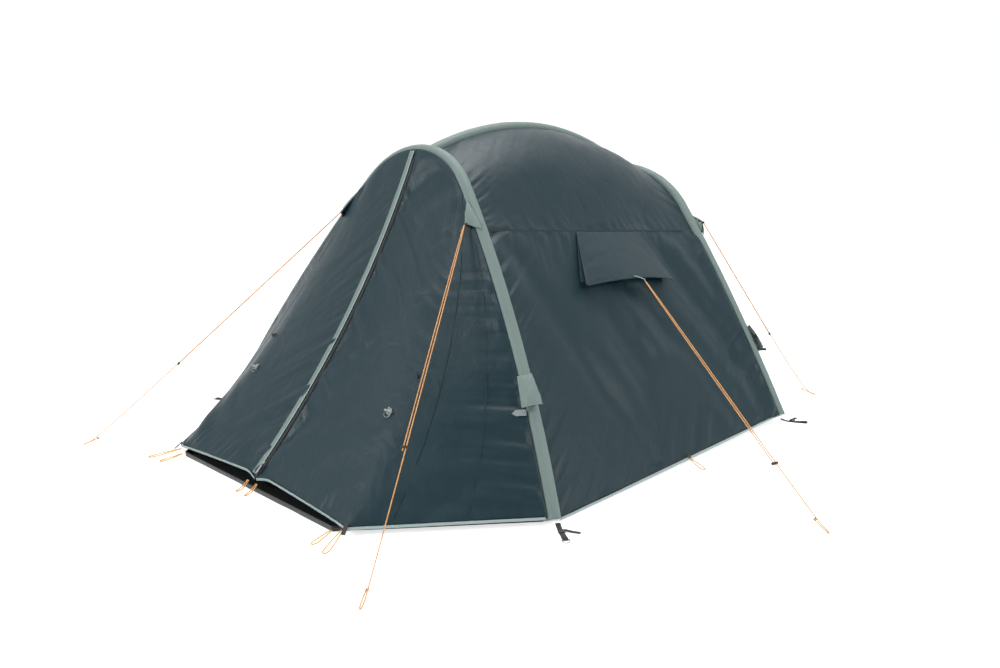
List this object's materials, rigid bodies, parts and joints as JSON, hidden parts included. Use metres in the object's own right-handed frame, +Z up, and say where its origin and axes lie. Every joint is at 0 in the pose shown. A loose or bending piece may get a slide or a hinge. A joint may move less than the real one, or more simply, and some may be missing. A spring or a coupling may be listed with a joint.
{
  "type": "air-beam tent",
  "caption": "Small inflatable-beam tent: leaning front and rear arches, a ridge beam, pointed porch with a zipped door, hooded side vents, guylines, and an inner tent.",
  "frame": {"origin": "on the ground, midway between the feet of the front arch", "axes": "+Z up; X = 0 is the mirror plane; the door faces -Y and the rear wall +Y"},
  "size_m": [4.0334, 3.2011, 1.5504],
  "materials": {
    "fly_cloth": "dark slate teal coated polyester, satin",
    "sleeve_cloth": "grey-green woven polyester",
    "hem_tape": "light grey ribbon tape",
    "orange_cord": "orange braided cord",
    "yellow_cord": "yellow-orange elastic cord",
    "air_tube": "pale bladder film",
    "zip_tape": "dark zip tape and coil",
    "zip_metal": "plain cast metal",
    "ring_metal": "plain wire",
    "webbing": "dark grey webbing",
    "runner_plastic": "moulded",
    "toggle_plastic": "moulded grey",
    "valve_plastic": "moulded dark",
    "groundsheet": "dark coated sheet",
    "inner_cloth": "pale breathable cloth",
    "vent_mesh": "fine black mesh"
  },
  "bodies": {
    "tent": {"beam_front": "air_tube", "beam_rear": "air_tube", "beam_spine": "air_tube", "corner_loop_left": "yellow_cord", "corner_loop_right": "yellow_cord", "door_head_left": "fly_cloth", "door_head_right": "fly_cloth", "foot_straps": "webbing", "groundsheet": "groundsheet", "guy_gussets": "sleeve_cloth", "guyline_front_left": "orange_cord", "guyline_front_right": "orange_cord", "guyline_rear_left": "orange_cord", "guyline_rear_right": "orange_cord", "guyline_side_left": "orange_cord", "guyline_side_right": "orange_cord", "hem_tapes": "hem_tape", "inner_tent": "inner_cloth", "porch_side_left": "fly_cloth", "porch_side_right": "fly_cloth", "rear_wall": "fly_cloth", "roof_left": "fly_cloth", "roof_right": "fly_cloth", "sheet_loop_left": "orange_cord", "sheet_loop_right": "orange_cord", "side_loop_left": "yellow_cord", "side_loop_right": "yellow_cord", "side_wall_left": "fly_cloth", "side_wall_right": "fly_cloth", "sleeve_front": "sleeve_cloth", "sleeve_rear": "sleeve_cloth", "sleeve_spine": "sleeve_cloth", "valve_bodies": "valve_plastic", "vent_meshes": "vent_mesh", "zip_loop_left": "orange_cord", "zip_loop_right": "orange_cord"},
    "door_right": {"door_right": "fly_cloth", "zip_tape_right": "zip_tape"},
    "door_left": {"door_left": "fly_cloth", "zip_tape_left": "zip_tape", "storm_flap": "hem_tape"},
    "zip_slider": {"zip_slider": "zip_metal"},
    "zip_pull": {"zip_pull": "zip_metal"},
    "vent_hood_right": {"vent_hood_right": "fly_cloth"},
    "toggle_right": {"toggle_right": "toggle_plastic"},
    "foot_ring_right": {"foot_ring_front_right": "ring_metal"},
    "runner_front_right": {"runner_front_right": "runner_plastic"},
    "runner_side_right": {"runner_side_right": "runner_plastic"},
    "runner_rear_right": {"runner_rear_right": "runner_plastic"},
    "vent_hood_left": {"vent_hood_left": "fly_cloth"},
    "toggle_left": {"toggle_left": "toggle_plastic"},
    "foot_ring_left": {"foot_ring_front_left": "ring_metal"},
    "runner_front_left": {"runner_front_left": "runner_plastic"},
    "runner_side_left": {"runner_side_left": "runner_plastic"},
    "runner_rear_left": {"runner_rear_left": "runner_plastic"},
    "valve_cap_front": {"valve_cap_front": "valve_plastic"},
    "valve_flap_front": {"valve_flap_front": "sleeve_cloth"},
    "valve_cap_rear": {"valve_cap_rear": "valve_plastic"},
    "valve_flap_rear": {"valve_flap_rear": "sleeve_cloth"},
    "inner_door": {"inner_door": "inner_cloth"}
  },
  "joints": [
    {"name": "door_right_swing", "type": "hinge", "parent": "tent", "child": "door_right", "pos_m": [0.66, -0.6, 0.042], "axis": [-0.3616, 0.543, 0.7579], "range_deg": [0, 100]},
    {"name": "door_left_swing", "type": "hinge", "parent": "tent", "child": "door_left", "pos_m": [-0.66, -0.6, 0.042], "axis": [-0.3616, -0.543, -0.7579], "range_deg": [0, 100]},
    {"name": "zip_slide", "type": "hinge", "parent": "door_left", "child": "zip_slider", "pos_m": [0, -3.74954, 3.34509], "axis": [1, 0, 0], "range_deg": [0, 19.31]},
    {"name": "zip_pull_swing", "type": "hinge", "parent": "zip_slider", "child": "zip_pull", "pos_m": [-0.0055, -0.55426, 0.101], "axis": [-1, 0, 0], "range_deg": [0, 150]},
    {"name": "vent_hood_right_fold", "type": "hinge", "parent": "tent", "child": "vent_hood_right", "pos_m": [0.5288, 0.955, 1.01475], "axis": [0.0624, 0.9942, -0.0879], "range_deg": [0, 7]},
    {"name": "toggle_right_turn", "type": "hinge", "parent": "tent", "child": "toggle_right", "pos_m": [0.51328, -0.25886, 0.38825], "axis": [0, 0.8129, -0.5824], "range_deg": [-80, 80]},
    {"name": "foot_ring_right_swing", "type": "hinge", "parent": "tent", "child": "foot_ring_right", "pos_m": [1.3065, -0.066, 0.0045], "axis": [-0.6, -0.8, 0], "range_deg": [0, 150]},
    {"name": "runner_front_right_slide", "type": "slide", "parent": "tent", "child": "runner_front_right", "axis": [-0.3777, 0.6577, 0.6517], "range_m": [0, 0.12]},
    {"name": "runner_side_right_slide", "type": "slide", "parent": "tent", "child": "runner_side_right", "axis": [-0.7886, 0.3135, 0.529], "range_m": [0, 0.12]},
    {"name": "runner_rear_right_slide", "type": "slide", "parent": "tent", "child": "runner_rear_right", "axis": [-0.4936, -0.2176, 0.8421], "range_m": [0, 0.12]},
    {"name": "vent_hood_left_fold", "type": "hinge", "parent": "tent", "child": "vent_hood_left", "pos_m": [-0.5288, 0.955, 1.01475], "axis": [0.0624, -0.9942, 0.0879], "range_deg": [0, 7]},
    {"name": "toggle_left_turn", "type": "hinge", "parent": "tent", "child": "toggle_left", "pos_m": [-0.51328, -0.25886, 0.38825], "axis": [0, 0.8129, -0.5824], "range_deg": [-80, 80]},
    {"name": "foot_ring_left_swing", "type": "hinge", "parent": "tent", "child": "foot_ring_left", "pos_m": [-1.3065, -0.066, 0.0045], "axis": [-0.6, 0.8, 0], "range_deg": [0, 150]},
    {"name": "runner_front_left_slide", "type": "slide", "parent": "tent", "child": "runner_front_left", "axis": [0.3777, 0.6577, 0.6517], "range_m": [0, 0.12]},
    {"name": "runner_side_left_slide", "type": "slide", "parent": "tent", "child": "runner_side_left", "axis": [0.7886, 0.3135, 0.529], "range_m": [0, 0.12]},
    {"name": "runner_rear_left_slide", "type": "slide", "parent": "tent", "child": "runner_rear_left", "axis": [0.4936, -0.2176, 0.8421], "range_m": [0, 0.12]},
    {"name": "valve_cap_front_turn", "type": "hinge", "parent": "tent", "child": "valve_cap_front", "pos_m": [0.95248, 0.11862, 0.47727], "axis": [0.6046, -0.5717, 0.5547], "continuous": true},
    {"name": "valve_flap_front_lift", "type": "hinge", "parent": "tent", "child": "valve_flap_front", "pos_m": [0.91678, 0.13526, 0.53514], "axis": [-0.6046, -0.7827, -0.1478], "range_deg": [0, 110]},
    {"name": "valve_cap_rear_turn", "type": "hinge", "parent": "tent", "child": "valve_cap_rear", "pos_m": [1.03042, 1.87365, 0.38798], "axis": [0.5742, 0.7817, 0.2435], "continuous": true},
    {"name": "valve_flap_rear_lift", "type": "hinge", "parent": "tent", "child": "valve_flap_rear", "pos_m": [0.99014, 1.88719, 0.44361], "axis": [0.5742, -0.5965, 0.5609], "range_deg": [0, 110]},
    {"name": "inner_door_swing", "type": "hinge", "parent": "tent", "child": "inner_door", "pos_m": [-0.207, 0.55, 0], "axis": [0, 0, -1], "range_deg": [0, 100]}
  ]
}
